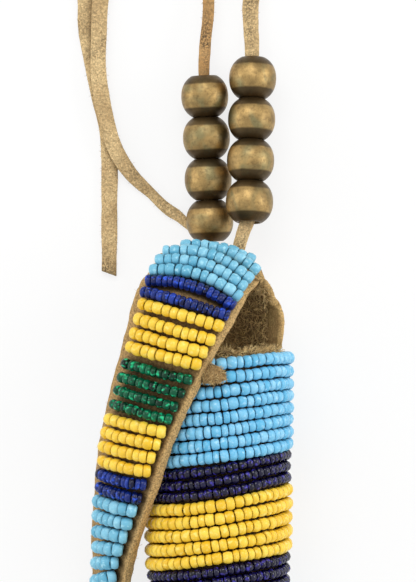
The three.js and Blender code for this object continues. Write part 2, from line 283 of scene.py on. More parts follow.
def smoked_hide(name, colour, tint, sand, soot, shade_strength, reach):
    """Brain-tanned, smoked hide: a dry napped face with no gloss, a sandy grain of pale and brown specks,
    cloudy smoke, pale raw cuts, soot in speckled patches, and painted shade that darkens it under the
    beads and deep in the hood. reach is how far from a hollow, in mm, the painted shade lies."""
    tree, place = start_material(name)
    grain = field(tree, place, 0.4, 3, 0.7, 0.4)
    specks = field(tree, place, 0.3, 3, 0.7)
    cut = attribute(tree, "cut")
    cloudy = ranged(tree, field(tree, place, 5, 4, 0.6), (0.35, 0.7), (0.0, 1.0))
    base = blended(tree, cloudy, shade(colour, 1.32), tint)
    stained = blended(tree, attribute(tree, "russet"), base, linear("c98e4a"))
    sandy = ranged(tree, grain, (0.38, 0.64), (0.0, sand))
    grainy = blended(tree, sandy, stained, shade(colour, 0.34))
    crumbs = ranged(tree, specks, (0.46, 0.62), (0.0, 0.7))
    raw = blended(tree, crumbs, linear("e6bf80"), shade(colour, 0.36))
    fresh = blended(tree, ranged(tree, cut, (0.3, 0.85), (0.0, 0.8)), grainy, raw)
    gathered = combined(tree, "MULTIPLY_ADD", attribute(tree, "groove"), 0.16, field(tree, place, 9, 3, 0.55))
    sooty = ranged(tree, gathered, (0.6, 0.78), (0.22, soot))
    speckled = ranged(tree, specks, (0.42, 0.56), (0.0, 1.0))
    smoked = blended(tree, combined(tree, "MULTIPLY", sooty, speckled), fresh, linear("35312c"))
    # painted shade: the hide darkens in hollows and under the beads, and less on its cut edges
    deepest = ranged(tree, cut, (0.4, 1.0), (shade_strength, shade_strength * 0.3))
    painted_shade = ranged(tree, hollowness(tree, reach, 6), (0.45, 0.98), (deepest, 0.0))
    # the shade painted on the hood's right wall is added here
    darkest = combined(tree, "ADD", painted_shade, attribute(tree, "buried"), use_clamp=True)
    finish_material(
        tree,
        {
            "Base Color": blended(tree, darkest, smoked, shade(colour, 0.07)),
            "Roughness": 0.95,
            "Specular IOR Level": 0.2,
            "Normal": relief(tree, grain, 1.0, 0.3),
        },
    )


def hide_fibre(name, colour):
    """Loose fibres of cut and worn hide: pale gold and brown hairs that soften every edge."""
    tree, place = start_material(name)
    spread = ranged(tree, field(tree, place, 0.8, 2), (0.35, 0.65), (0.0, 1.0))
    colours = blended(tree, spread, shade(colour, 1.3), shade(colour, 0.45))
    finish_material(tree, {"Base Color": colours, "Roughness": 0.8, "Specular IOR Level": 0.3})


def tarnished_brass(name, colour):
    """Cast and turned brass, worn by long handling: a band round the middle is rubbed bright, the ends are dark
    brown, partly patina and partly painted shade, the lower end darker, and the bright part is mottled with
    olive patches of painted reflection, pitted and finely scratched with a broad satin gloss."""
    tree, place = start_material(name)
    cloud = field(tree, place, 3, 5, 0.62)
    grit = field(tree, place, 0.7, 5, 0.75)
    turned = add_node(tree, "ShaderNodeMapping", {"Vector": place, "Scale": (0.12, 1, 0.12)}).outputs[0]
    uneven = combined(tree, "MULTIPLY_ADD", cloud, 0.1, attribute(tree, "along"))
    # dark ends: partly patina and partly painted shade, the lower end painted darker than the upper one
    upper = ranged(tree, uneven, (0.6, 0.68), (0.0, 0.76))
    lower = ranged(tree, uneven, (-0.48, -0.56), (0.0, 0.86))
    rubbed = blended(tree, ranged(tree, cloud, (0.38, 0.62), (0.0, 0.8)), colour, shade(colour, 0.45))
    # painted reflection: olive patches, placed at random
    olive_reflection = ranged(tree, field(tree, place, 4.5, 2, 0.5, 0.8), (0.48, 0.66), (0.0, 0.75))
    olive = blended(tree, olive_reflection, rubbed, linear("86805a"))
    mottled = blended(tree, ranged(tree, grit, (0.48, 0.66), (0.0, 0.55)), olive, shade(colour, 0.3))
    finish_material(
        tree,
        {
            # the ends go towards dark brown: patina and painted shade
            "Base Color": blended(tree, combined(tree, "MAXIMUM", upper, lower), mottled, linear("42331f")),
            "Metallic": 1.0,
            "Roughness": ranged(tree, grit, (0.3, 0.7), (0.38, 0.6)),
            "Coat Weight": 0.3,
            "Coat Roughness": 0.4,
            "Normal": relief(tree, field(tree, turned, 0.35, 3), 0.3, 0.06),
        },
    )


def sinew_thread(name):
    """Twisted sinew sewing thread: pale, dull and slightly dirty."""
    tree, place = start_material(name)
    colours = blended(tree, field(tree, place, 2, 3), linear("b7a27c"), linear("5a4a34"))
    finish_material(tree, {"Base Color": colours, "Roughness": 0.8})


# Pieces


def as_mesh(bm, name):
    """A bmesh made a new mesh, and freed."""
    mesh = bpy.data.meshes.new(name)
    bm.to_mesh(mesh)
    bm.free()
    return mesh


def add_object(name, data):
    """A new object in the scene."""
    made = bpy.data.objects.new(name, data)
    bpy.context.scene.collection.objects.link(made)
    return made


def add_piece(name, bm, finish, body, nodes=()):
    """Makes a bmesh a smooth piece at the origin that stands for CAD nodes and rides on a body, if one
    is given. finish is the name of its material."""
    mesh = as_mesh(bm, name)
    mesh.materials.append(bpy.data.materials[finish])
    mesh.shade_smooth()
    piece = add_object(name, mesh)
    if body:
        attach(piece, body)
    if nodes:
        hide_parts(*nodes)
    return piece


def clamped(value):
    return min(max(value, 0.0), 1.0)


def ramp(value, start, end):
    """A share that goes from 0 to 1 as a length goes from a start to an end, which are in mm."""
    return clamped((value / MM - start) / (end - start))


def add_copy(bm, part):
    """Adds one bmesh to another, and frees it."""
    mesh = as_mesh(part, "part")
    bm.from_mesh(mesh)
    bpy.data.meshes.remove(mesh)


def full_spin(bm, geom, axis, steps, near):
    """Spins a profile once round an axis through the origin, and closes its seam and poles."""
    bmesh.ops.spin(bm, geom=geom, axis=axis, cent=(0, 0, 0), angle=2 * math.pi, steps=steps, use_merge=True)
    bmesh.ops.remove_doubles(bm, verts=bm.verts, dist=near)
    bmesh.ops.recalc_face_normals(bm, faces=bm.faces)


def smooth_line(points, steps):
    """Points along the smooth curve through the given ones, with its ends carried straight on."""
    ends = [points[0] * 2 - points[1], *points, points[-1] * 2 - points[-2]]
    line = []
    for a, b, c, d in zip(ends, ends[1:], ends[2:], ends[3:]):
        for step in range(steps):
            t = step / steps
            line.append(
                b
                + (c - a) * (0.5 * t)
                + (a * 2 - b * 5 + c * 4 - d) * (0.5 * t * t)
                + (b * 3 - a - c * 3 + d) * (0.5 * t**3)
            )
    return [*line, points[-1]]


def line_length(line):
    return sum((b - a).length for a, b in zip(line, line[1:]))


def point_on(line, distance):
    """The point, and the direction there, at a distance along a line."""
    for a, b in zip(line, line[1:]):
        span = (b - a).length
        if distance <= span:
            return a.lerp(b, distance / span), (b - a).normalized()
        distance -= span
    return line[-1], (line[-1] - line[-2]).normalized()


def seed_bead(around, section):
    """One glass seed bead of diameter 1 and length 1 with its hole along Z, as a mesh."""
    fullness = 0.9
    wall = 0.42
    wall_middle = 0.29
    bm = bmesh.new()
    ring = bmesh.ops.create_circle(bm, segments=section, radius=1)["verts"]
    for vert in ring:
        vert.co.y = pushed_out(vert.co.y, fullness)
    bmesh.ops.rotate(bm, verts=ring, matrix=Matrix.Rotation(math.pi / 2, 3, "X"))
    bmesh.ops.scale(bm, vec=(wall / 2, 1, 0.5), verts=ring)
    bmesh.ops.translate(bm, vec=(wall_middle, 0, 0), verts=ring)
    full_spin(bm, bm.edges[:], (0, 0, 1), steps=around, near=1e-4)
    return as_mesh(bm, "seed_bead")


def pushed_out(value, power):
    """A value from -1 to 1 pushed out towards its end, the more the smaller the power."""
    return math.copysign(abs(value) ** power, value)


def turned_to(direction):
    """Rotation that takes +Z to a direction."""
    return direction.to_track_quat("Z", "Y").to_matrix().to_4x4()


class BeadString:
    """Collects beads of one piece, each with a tilt, size and tone of its own."""

    TILT = 0.11
    WIDTHS = (0.92, 1.04)
    LENGTHS = (0.76, 1.24)
    TONE = (0.45, 0.24)
    WOBBLE = 0.03
    OVERLAP = 1.06

    def __init__(self, seed):
        self.bm = bmesh.new()
        self.rand = random.Random(seed)
        self.bead = seed_bead(around=10, section=8)
        self.tone = self.bead.attributes.new("tone", "FLOAT", "POINT")

    def add(self, centre, direction, diameter, length):
        rand = self.rand
        tilts = [Matrix.Rotation(rand.uniform(-self.TILT, self.TILT), 4, axis) for axis in "XY"]
        across = diameter * rand.uniform(*self.WIDTHS)
        size = Matrix.Diagonal((across, across, length, 1))
        spin = Matrix.Rotation(rand.uniform(0, math.pi), 4, "Z")
        place = Matrix.Translation(centre) @ turned_to(direction) @ tilts[0] @ tilts[1] @ spin @ size
        tone = clamped(rand.gauss(*self.TONE))
        self.tone.data.foreach_set("value", [tone] * len(self.bead.vertices))
        self.bead.transform(place)
        self.bm.from_mesh(self.bead)
        self.bead.transform(place.inverted())

    def string(self, line, diameter, length, levelled=0):
        """Fills a line with beads from end to end, each of a slightly different length. levelled is how far
        the beads near the end are turned level, from 0 to 1."""
        total = line_length(line)
        count = max(int(total / length), 1)
        lengths = [self.rand.uniform(*self.LENGTHS) for _ in range(count)]
        stretch = total / sum(lengths)
        done = 0
        for share in lengths:
            centre, direction = point_on(line, done + share * stretch / 2)
            wobble = Vector([self.rand.uniform(-1, 1) for _ in range(3)]) * (self.WOBBLE * diameter)
            direction.z *= 1 - levelled * done / total
            self.add(centre + wobble, direction, diameter, share * stretch * self.OVERLAP)
            done += share * stretch

    def finish(self, name, finish, body, nodes, slot):
        bpy.data.meshes.remove(self.bead)
        return add_piece(name, self.bm, finish, body, nodes)


def thread_along(bm, line):
    """Adds a thin thread along a line."""
    thread = bmesh.new()
    ring = bmesh.ops.create_circle(thread, segments=5, radius=THREAD_RADIUS)["verts"]
    sweep(thread, ring, line, [(1, 1)] * len(line), False)
    add_copy(bm, thread)


def sweep(bm, ring, line, widths, cap):
    """Pulls a ring of verts, drawn round the origin in XY, along a line. Each place on the line has a
    pair of scales for the ring's X, which stays level, and Y. cap fills both ends."""
    places = []
    for index, point in enumerate(line):
        ahead = line[min(index + 1, len(line) - 1)] - line[max(index - 1, 0)]
        ahead.normalize()
        side = ahead.cross(UP).normalized()
        top = side.cross(ahead)
        turn = Matrix((side, top, -ahead)).transposed().to_4x4()
        wide, thick = widths[index]
        places.append(Matrix.Translation(point) @ turn @ Matrix.Diagonal((wide, thick, 1, 1)))
    edges = list({edge for vert in ring for edge in vert.link_edges})
    if cap:
        bmesh.ops.contextual_create(bm, geom=edges)
    bmesh.ops.transform(bm, matrix=places[0], verts=ring)
    for before, after in zip(places, places[1:]):
        made = bmesh.ops.extrude_edge_only(bm, edges=edges)["geom"]
        ring = [item for item in made if isinstance(item, bmesh.types.BMVert)]
        edges = [item for item in made if isinstance(item, bmesh.types.BMEdge)]
        edges = [edge for edge in edges if all(vert in ring for vert in edge.verts)]
        bmesh.ops.transform(bm, matrix=after @ before.inverted(), verts=ring)
    if cap:
        bmesh.ops.contextual_create(bm, geom=edges)


# Hide thongs

# points along the middle of each thong, in mm
CARRY_ROUTE = [
    (3, 17, 10.15), (3.7, 19.8, 9.8), (4.4, 22.1, 9.3), (5.15, 24.2, 8.9),
    (5.34, 26.6, 8.55), (5.41, 29.2, 8.21), (5.48, 31.8, 7.87), (5.56, 34.9, 7.46),
    (5.65, 38, 7.05), (5.85, 52.5, 5.14), (5.65, 57.5, 4.5), (5.7, 62.5, 3.6),
    (7.3, 70, 1.8), (9.2, 77.5, 0.8), (10, 84.5, 0.6), (7.66, 90.2, 0.6),
    (2, 92.5, 0.6), (-3.66, 90.2, 0.6), (-6, 84.5, 0.6), (-5.1, 77.5, 0.7),
    (-2.9, 70, 1.4), (-1.7, 62.5, 2.6), (-2.35, 54, 3.75), (-2.5, 48.6, 4),
    (-2.06, 37.5, 4), (-1.52, 24.4, 4), (-1.4, 20.4, 4.05), (-1.4, 18, 4.6),
    (-1.4, 15.8, 5.4),
]
TIE_ROUTE = [
    (-1.9, 1.35, 0.6), (-1.9, 6, 0.6), (-2, 11, 0.6), (-2.2, 16, 0.6),
    (-2.7, 19.2, 0.6), (-3.6, 21.1, 0.6), (-4.9, 22.7, 0.6), (-6.9, 24.6, 0.6),
    (-9.35, 26.3, 0.6), (-12, 28.9, 0.65), (-14.8, 31.5, 0.95), (-17, 34.5, 1.6),
    (-18.5, 37.6, 1.8), (-19.4, 40.9, 1.8), (-20.4, 45.3, 1.8), (-21, 50.5, 1.8),
    (-20.9, 56, 1.8), (-20.6, 62.6, 1.7), (-19.3, 68, 1.4), (-17.2, 72, 1.1),
    (-16.4, 76, 0.8), (-18, 80, 0.6), (-22, 81.7, 0.6), (-26, 80, 0.6),
    (-27.6, 76, 0.6), (-26.8, 72, 0.6), (-24.7, 68, 0.6), (-23.3, 62.6, 0.6),
    (-23.2, 57.3, 0.6), (-22.3, 52.1, 0.6), (-21.1, 46.8, 0.6), (-19.7, 40.7, 0.6),
    (-19.1, 34.6, 0.6), (-19.1, 27.5, 0.6), (-19.1, 20.5, 0.6), (-19.15, 15.9, 0.6),
]


def threaded(place):
    """Whether a place on a thong is where the brass beads sit or slide."""
    return place.x > -4 * MM and 18 * MM < place.y < 58 * MM


def thong_piece(name, route, width, thickness, narrow, stain, seed, node):
    """A flat strip of hide along a route. narrow gives the share of the width at each place, and stain how
    far it is russet and how far sooted there."""
    sides, faces = 0.75, 0.85
    widened, thinned = 0.16, 0.12
    rough = 0.06 * MM
    line = smooth_line([Vector(point) * MM for point in route], steps=6)
    bm = bmesh.new()
    ring = bmesh.ops.create_circle(bm, segments=14, radius=0.5)["verts"]
    for vert in ring:
        vert.co.x = pushed_out(vert.co.x * 2, sides) / 2
        vert.co.y = pushed_out(vert.co.y * 2, faces) / 2
    widths = []
    for point in line:
        wander = noise.noise(point * per_size(7) + Vector((seed, 0, 0)))
        wide = width * narrow(point) * (1 + widened * wander)
        widths.append((wide, thickness * (1 - thinned * abs(wander))))

    def bare(centre, normal):
        return normal.z > -0.25 and not threaded(centre)

    sweep(bm, ring, line, widths, True)
    bmesh.ops.recalc_face_normals(bm, faces=bm.faces)
    groove = bm.verts.layers.float.new("groove")
    russet = bm.verts.layers.float.new("russet")
    for vert in bm.verts:
        vert[russet], sooted = stain(vert.co)
        vert[groove] = sooted * abs(vert.normal.z) ** 4
        vert.co += vert.normal * (rough * (noise.noise(vert.co * per_size(0.9)) - 0.4))
    piece = add_piece(name, bm, "smoked hide thong", "case", [node])
    coat = FibreCoat(seed)
    coat.cover(piece, bare, count=1500, lengths=(0.2, 0.6), lift=0.9)
    return piece, coat.finish(name + "_fibres", "case"), line


class AWL_OT_carrying_thong(bpy.types.Operator):
    """Strip of hide out of the hood's back, through both stacks of brass beads and round its loop"""

    bl_idname = "awl_case.carrying_thong"
    bl_label = "Carrying thong"

    def execute(self, context):
        hide = context.scene.awl_case_hide

        def narrow(point):
            """Narrower on the left leg, and wider on the right one past its beads."""
            above = 0.08 * (point.y > 40 * MM) + 0.14 * ramp(point.y, 57, 61)
            return 0.8 + (0.18 + above) * ramp(point.x, -2, 5)

        def stain(point):
            """Russet past the left beads, and less sooted on the left leg."""
            left = ramp(point.x, 2, -1)
            return 0.62 * left * ramp(point.y, 46, 49), 1.35 - 0.5 * left

        piece, fuzz, line = thong_piece(
            "carrying_thong_strip",
            CARRY_ROUTE,
            hide.carry_width,
            hide.thong_thickness,
            narrow,
            stain,
            seed=3,
            node="carrying_thong",
        )
        return {"FINISHED"}


class AWL_OT_tie_thong(bpy.types.Operator):
    """Strip of hide from under the wrap, past the lowest left bead, to a loop and a cut free end"""

    bl_idname = "awl_case.tie_thong"
    bl_label = "Tie thong"

    def execute(self, context):
        hide = context.scene.awl_case_hide

        def narrow(point):
            """Narrowest under the wrap, and widest beyond the brass beads."""
            return 0.46 + 0.26 * ramp(point.x, -4, -8) + 0.28 * ramp(point.x, -12, -17)

        piece, fuzz, line = thong_piece(
            "tie_thong_strip",
            TIE_ROUTE,
            hide.tie_width,
            hide.thong_thickness,
            narrow,
            lambda point: (0, 0.3),
            seed=11,
            node="tie_thong",
        )
        longer, slope = 1.3 * MM, 0.35
        for vert in piece.data.vertices:
            past = ramp(vert.co.y - line[-1].y, 1.5, 0) * (vert.co.x < -16 * MM)
            vert.co.y -= past * (longer + slope * (vert.co.x - line[-1].x))
        return {"FINISHED"}


# Hide tube and wound strands

BANDS = sorted(name for name in frame["nodes"] if name.startswith("wrap_"))
STRANDS = {"light_blue": 8, "navy": 3, "yellow": 5}


def colour_of(node):
    return next(key for key in ("light_blue", "yellow", "navy", "cobalt", "green") if node.endswith(key))


def slant_at(y):
    """Rise of the wound strands to the right, which grows away from the mouth."""
    at_mouth, growth = 3, 5.5
    share = ramp(y, 0, -20)
    share = share * share * (3 - 2 * share)
    return math.tan(math.radians(at_mouth + growth * share))


class TubeForm:
    """Radius of the wrap, and height of the tube's axis, along the tapered tube."""

    def __init__(self, beads):
        self.pitch = {
            key: (beads.dark_diameter if key == "navy" else beads.seed_diameter) + beads.strand_gap
            for key in STRANDS
        }
        self.top = self.pitch["light_blue"] / 2
        self.tops = [self.top]
        for node in BANDS:
            key = colour_of(node)
            self.tops.append(self.tops[-1] - STRANDS[key] * self.pitch[key])
        self.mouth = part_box(BANDS[0])[1].x
        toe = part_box(BANDS[-1])[1].x
        self.taper = (self.mouth - toe) / (self.tops[0] - self.tops[-2])

    def radius(self, y):
        return self.mouth + min(y - self.top, 0) * self.taper


def wound_line(form, y, centre_radius, phase):
    """Closed line of one wound strand, slanted and a little uneven."""
    line = []
    steps = 72
    broad, fine = 0.16 * MM, 0.1 * MM
    for step in range(steps + 1):
        turn = 2 * math.pi * step / steps
        x = centre_radius * math.cos(turn)
        wave = broad * math.sin(2 * turn + phase) + fine * math.sin(3 * turn - 0.7 * phase)
        line.append(
            Vector((x, y + slant_at(y) * x + wave, form.radius(y) + centre_radius * math.sin(turn)))
        )
    return line


class AWL_OT_wound_strands(bpy.types.Operator):
    """Strands of seed beads wound round the tube in bands of colour"""

    bl_idname = "awl_case.wound_strands"
    bl_label = "Wound strands"

    def execute(self, context):
        beads = context.scene.awl_case_beads
        form = TubeForm(beads)
        threads = bmesh.new()
        for index, node in enumerate(BANDS):
            key = colour_of(node)
            dark = key == "navy"
            diameter = beads.dark_diameter if dark else beads.seed_diameter
            length = beads.dark_length if dark else beads.seed_length
            string = BeadString(100 + index)
            for strand in range(STRANDS[key]):
                y = form.tops[index] - (strand + 0.5) * form.pitch[key]
                if index == 0:  # the strands at the mouth have slipped towards the toe
                    y -= (0.55 if strand < 2 else 0.75 * (1 - strand / STRANDS[key])) * MM
                centre = form.radius(y) - beads.seed_diameter + diameter / 2
                line = wound_line(form, y, centre, 0.35 * strand + 0.9 * index)
                string.string(line, diameter, length)
                thread_along(threads, line)
            string.finish(node + "_beads", key + " seed glass", "case", [node], key + "_glass")
        bmesh.ops.recalc_face_normals(threads, faces=threads.faces)
        add_piece("wound_threads", threads, "sinew thread", "case", ())
        return {"FINISHED"}


class AWL_OT_hide_tube(bpy.types.Operator):
    """Sewn hide tube under the strands, with an open mouth and a closed toe"""

    bl_idname = "awl_case.hide_tube"
    bl_label = "Hide tube"

    def execute(self, context):
        form = TubeForm(context.scene.awl_case_beads)
        low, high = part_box("hide_tube")
        sunk = 0.3 * MM + context.scene.awl_case_beads.seed_diameter
        toe = low.y + 3 * MM
        outside = [
            (0, low.y),
            (0.45, low.y + 0.25 * MM),
            (0.78, low.y + 0.9 * MM),
            (0.95, low.y + 2 * MM),
            (1, toe),
            (1, toe + 8 * MM),
            (1, 0),
            (1, high.y - 0.4 * MM),
        ]
        profile = [((form.radius(y) - sunk) * share, y) for share, y in outside]
        rim = form.radius(high.y) - sunk
        worn = 0.35 * MM
        profile += [(rim - worn, high.y), (rim - HIDE_WALL + worn, high.y)]
        profile += [(rim - HIDE_WALL, high.y - 0.5 * MM)]
        profile += [(form.radius(y) - sunk - HIDE_WALL, y) for y in (0, toe + 8 * MM, toe)]
        profile += [(0, low.y + HIDE_WALL)]
        bm = bmesh.new()
        verts = [bm.verts.new((radius, y, 0)) for radius, y in profile]
        edges = [bm.edges.new(pair) for pair in zip(verts, verts[1:])]
        full_spin(bm, verts + edges, (0, 1, 0), steps=64, near=0.001 * MM)
        uneven = 0.12 * MM
        for vert in bm.verts:
            vert.co += vert.normal * (uneven * noise.noise(vert.co * per_size(2.5)))
            vert.co.z += form.radius(vert.co.y)
        add_piece("hide_tube_skin", bm, "smoked hide", "case", ["hide_tube"])
        return {"FINISHED"}


# Hood and lid flap


def merged_copy(node):
    """A CAD node's mesh as a bmesh of quads with its doubles merged."""
    bm = bmesh.new()
    bm.from_mesh(frame["nodes"][node].data)
    bmesh.ops.remove_doubles(bm, verts=bm.verts, dist=0.002 * MM)
    flat = math.radians(40)
    bmesh.ops.join_triangles(bm, faces=bm.faces, angle_face_threshold=flat, angle_shape_threshold=flat)
    return bm


def soften_hide(bm, seed, thinned, rounds):
    """Rounds the cut edges of a slab of hide, smooths its facets and makes its faces uneven. Its verts
    keep how far they are freshly cut."""
    sharpest = math.radians(50)
    bevel = 0.4 * MM
    stray = 0.2 * MM
    broad, fine, frayed = 0.14, 0.07, 0.16
    sharp = [edge for edge in bm.edges if edge.is_manifold and edge.calc_face_angle() > sharpest]
    cut = bm.verts.layers.float.new("cut")
    slab = BVHTree.FromBMesh(bm)
    for edge in sharp:
        for vert in edge.verts:
            vert[cut] = 1
    shape = {"segments": 2, "profile": 0.5, "affect": "EDGES", "material": -1}
    bmesh.ops.bevel(bm, geom=sharp, offset=bevel, offset_type="OFFSET", **shape)
    for vert in bm.verts:
        nearest = slab.find_nearest(vert.co)[0]
        if (vert.co - nearest).length > stray:
            vert.co = nearest
    bmesh.ops.subdivide_edges(bm, edges=bm.edges[:], cuts=2, use_grid_fill=True)
    bmesh.ops.recalc_face_normals(bm, faces=bm.faces)
    axes = {f"use_axis_{axis}": True for axis in "xyz"}
    for _ in range(rounds):
        bmesh.ops.smooth_vert(bm, verts=bm.verts, factor=0.5, **axes)
    bm.normal_update()
    for vert in bm.verts:
        place = vert.co + Vector((seed * MM, 0, 0))
        uneven = broad * noise.noise(place * per_size(4)) + fine * noise.noise(place * per_size(0.9))
        uneven += frayed * vert[cut] * noise.noise(place * per_size(1.2))
        vert.co += vert.normal * (uneven * MM - thinned)


def draw_in(bm, right_trim, swell_from):
    """Draws the left side of the lid in near its fold, trims its right side below the fold, and swells
    its right side out above a height along the case."""
    left_draw, right_swell = 1.0 * MM, 0.85 * MM
    trim_above, trim_below = 1.5, 0.3
    moves = []
    bm.normal_update()
    for vert in bm.verts:
        x, y, _ = vert.co
        near_left = ramp(x, -8.5, -11) * ramp(y, 11.5, 15)
        right = max(other.co.x for other in bm.verts if abs(other.co.y - y) < 1.2 * MM)
        near_right = ramp(right - x, 2, 0) * ramp(y, 13, 11)
        swell = ramp(y - swell_from, 0, 2) * ramp(x, 3, 6)
        slant = trim_above if vert.normal.z > 0 else trim_below
        moves.append(left_draw * near_left - slant * right_trim * near_right + right_swell * swell)
    for vert, move in zip(bm.verts, moves):
        vert.co.x += move


class AWL_OT_lid_hide(bpy.types.Operator):
    """Hood at the back of the mouth, lid flap, and the soft fold between them"""

    bl_idname = "awl_case.lid_hide"
    bl_label = "Hood and lid flap"

    DULL_CUT = 0.6

    def execute(self, context):
        hood = merged_copy("hood_hide")
        flap = merged_copy("flap_hide")
        draw_in(hood, right_trim=0, swell_from=9.5 * MM)
        draw_in(flap, right_trim=0.8 * MM, swell_from=13 * MM)
        self.add_fold(hood, flap)
        self.widen_hood(hood)
        soften_hide(hood, seed=1, thinned=0.1 * MM, rounds=30)
        soften_hide(flap, seed=2, thinned=0, rounds=12)
        self.darken_hood(hood, TubeForm(context.scene.awl_case_beads).radius(0))
        cut = flap.verts.layers.float["cut"]
        for vert in flap.verts:
            if vert.co.x < -9 * MM + 0.3 * vert.co.y:
                vert[cut] *= self.DULL_CUT
        add_piece("hood_skin", hood, "smoked hide lining", "case", ["hood_hide"])
        add_piece("flap_skin", flap, "smoked hide", "lid_flap", ["flap_hide"])
        return {"FINISHED"}

    @staticmethod
    def widen_hood(hood):
        """Lets the hood's root down into the tube, and widens its right side, but less at its shoulder."""
        near, let_down = 0.4 * MM, 0.7 * MM
        wider, held_in = 1.06, 0.055
        shoulder, reach = 9.6 * MM, 1.4 * MM
        root = min(vert.co.y for vert in hood.verts)
        for vert in hood.verts:
            if vert.co.y < root + near:
                vert.co.y -= let_down
            if vert.co.x > 0:
                vert.co.x *= wider - held_in * math.exp(-(((vert.co.y - shoulder) / reach) ** 2))

    def darken_hood(self, hood, axis):
        """Dulls the hood's cut edges, and paints shade on the right wall of its hollow."""
        darkest = 0.28
        cut = hood.verts.layers.float["cut"]
        buried = hood.verts.layers.float.new("buried")
        hood.normal_update()
        for vert in hood.verts:
            x, _, z = vert.co
            inward = -(x * vert.normal.x + (z - axis) * vert.normal.z) / axis
            vert[cut] *= self.DULL_CUT
            # painted shade on the inward faces of the hood's right wall
            vert[buried] = darkest * clamped(1.7 * inward) * ramp(x, 1.5, 5.5)

    def add_fold(self, hood, flap):
        """A short soft sleeve inside the ends of the two slabs, which bends as the lid opens."""
        near, sunk, right_edge = 0.6 * MM, 0.14 * MM, 5 * MM
        flap_points = [vert.co for vert in flap.verts]
        ends = {vert for vert in hood.verts if min((vert.co - co).length for co in flap_points) < near}
        loop = self.rim_loop(hood, ends)
        back = [self.inner_neighbour(vert, ends).co.copy() for vert in loop]
        fronts = [min(flap.verts, key=lambda other, at=vert.co: (other.co - at).length) for vert in loop]
        front_set = set(fronts)
        ahead = [self.inner_neighbour(vert, front_set).co.copy() for vert in fronts]
        rings = [back, [vert.co.copy() for vert in loop], [vert.co.copy() for vert in fronts], ahead]
        bm = bmesh.new()
        ring = [bm.verts.new(point) for point in rings[0]]
        edges = [bm.edges.new((a, b)) for a, b in zip(ring, ring[1:] + ring[:1])]
        bmesh.ops.contextual_create(bm, geom=edges)
        for points in rings[1:]:
            made = bmesh.ops.extrude_edge_only(bm, edges=edges)["geom"]
            new_edges = [item for item in made if isinstance(item, bmesh.types.BMEdge)]
            for vert in [item for item in made if isinstance(item, bmesh.types.BMVert)]:
                before = [edge.other_vert(vert) for edge in vert.link_edges]
                index = next(ring.index(other) for other in before if other in ring)
                vert.co = points[index]
            after = []
            for vert in ring:
                others = [edge.other_vert(vert) for edge in vert.link_edges]
                after.append(next(other for other in others if other in made and other not in ring))
            ring = after
            edges = [edge for edge in new_edges if all(vert in ring for vert in edge.verts)]
        bmesh.ops.contextual_create(bm, geom=edges)
        bmesh.ops.recalc_face_normals(bm, faces=bm.faces)
        for vert in bm.verts:
            vert.co -= vert.normal * sunk
        bmesh.ops.subdivide_edges(bm, edges=bm.edges[:], cuts=1, smooth=0.6, use_grid_fill=True)
        cut = bm.verts.layers.float.new("cut")
        for vert in bm.verts:
            vert[cut] = vert.co.x > right_edge
        piece = add_piece("lid_fold", bm, "smoked hide", None, ())
        start = sum(rings[1], Vector()) / len(rings[1])
        end = sum(rings[2], Vector()) / len(rings[2])
        along = (end - start).normalized()
        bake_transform(piece, "case", "lid_flap", start=start - along * (1.3 * MM), end=end + along * (1.3 * MM))

    @staticmethod
    def rim_loop(hood, ends):
        """The verts round the end of the hood, in order."""
        faces = {face for face in hood.faces if all(vert in ends for vert in face.verts)}
        rim = [edge for edge in hood.edges if sum(face in faces for face in edge.link_faces) == 1]
        loop = [rim[0].verts[0]]
        while len(loop) < len(rim):
            for edge in loop[-1].link_edges:
                other = edge.other_vert(loop[-1])
                if edge in rim and other not in loop:
                    loop.append(other)
                    break
            else:
                raise RuntimeError("The hood's end at the fold is not one loop")
        return loop

    @staticmethod
    def inner_neighbour(vert, rim):
        """The nearest of a vert's neighbours that are not on the rim."""
        inner = [edge.other_vert(vert) for edge in vert.link_edges if edge.other_vert(vert) not in rim]
        return min(inner, key=lambda other: (other.co - vert.co).length)


LID_ROWS = [name for name in frame["nodes"] if name.startswith(("hood_row_", "flap_row_"))]


def row_line(node):
    """Middle line of a row's CAD rod, from the rings of its mesh."""
    verts = frame["nodes"][node].data.vertices
    places = {tuple(round(value, 7) for value in vert.co) for vert in verts}
    points = [Vector(place) for place in sorted(places)]
    middle = sum(points, Vector()) / len(points)
    first = max(points, key=lambda point: (point - middle).length)
    last = max(points, key=lambda point: (point - first).length)
    along = (last - first).normalized()
    reach = (last - first).length
    last_ring = 4
    rings = [[] for _ in range(last_ring + 1)]
    for point in points:
        share = (point - first).dot(along) / reach
        rings[round(clamped(share) * last_ring)].append(point)
    line = smooth_line([sum(ring, Vector()) / len(ring) for ring in rings], steps=6)
    return line if line[0].x < line[-1].x else line[::-1]


# light blue rows on the flap: by the fold, and fewer and thicker by the tip
FOLD_ROWS = 3
TIP_ROWS = 7
TIP_GROWTH = 1.1

# how far the beads by a row's right end are turned level
LEVELLED = 0.85

# rows over the fold are sewn further to the right, by this many mm
ROW_SHIFTS = {
    "hood_row_2_light_blue": 1.4,
    "hood_row_1_light_blue": 3.0,
    "flap_row_01_light_blue": 1.0,
    "flap_row_02_light_blue": 0.2,
}

# hide left bare at the left of these rows, in mm
LEFT_MARGINS = {"yellow": 0.55, "green": 0.6}

# how far a row's middle and its ends have slipped towards the next row, as a share of the way
ROW_SLIPS = {
    "hood_row_1_light_blue": (0.4, 0.7),
    "flap_row_01_light_blue": (0.35, 0.75),
    "flap_row_02_light_blue": (0.35, 0.75),
    "flap_row_03_light_blue": (0.3, 0.7),
    "flap_row_04_cobalt": (0.2, 0.45),
    "flap_row_05_cobalt": (0.1, 0.16),
    "flap_row_06_yellow": (-0.18, -0.18),
    "flap_row_07_yellow": (-0.18, -0.18),
    "flap_row_08_yellow": (-0.2, -0.2),
    "flap_row_09_yellow": (-0.22, -0.22),
}


def row_order(node):
    """Sorts the rows from the back of the hood, over the fold, to the tip of the flap."""
    number = int(node.split("_")[2])
    return (1, number) if node.startswith("flap") else (0, -number)


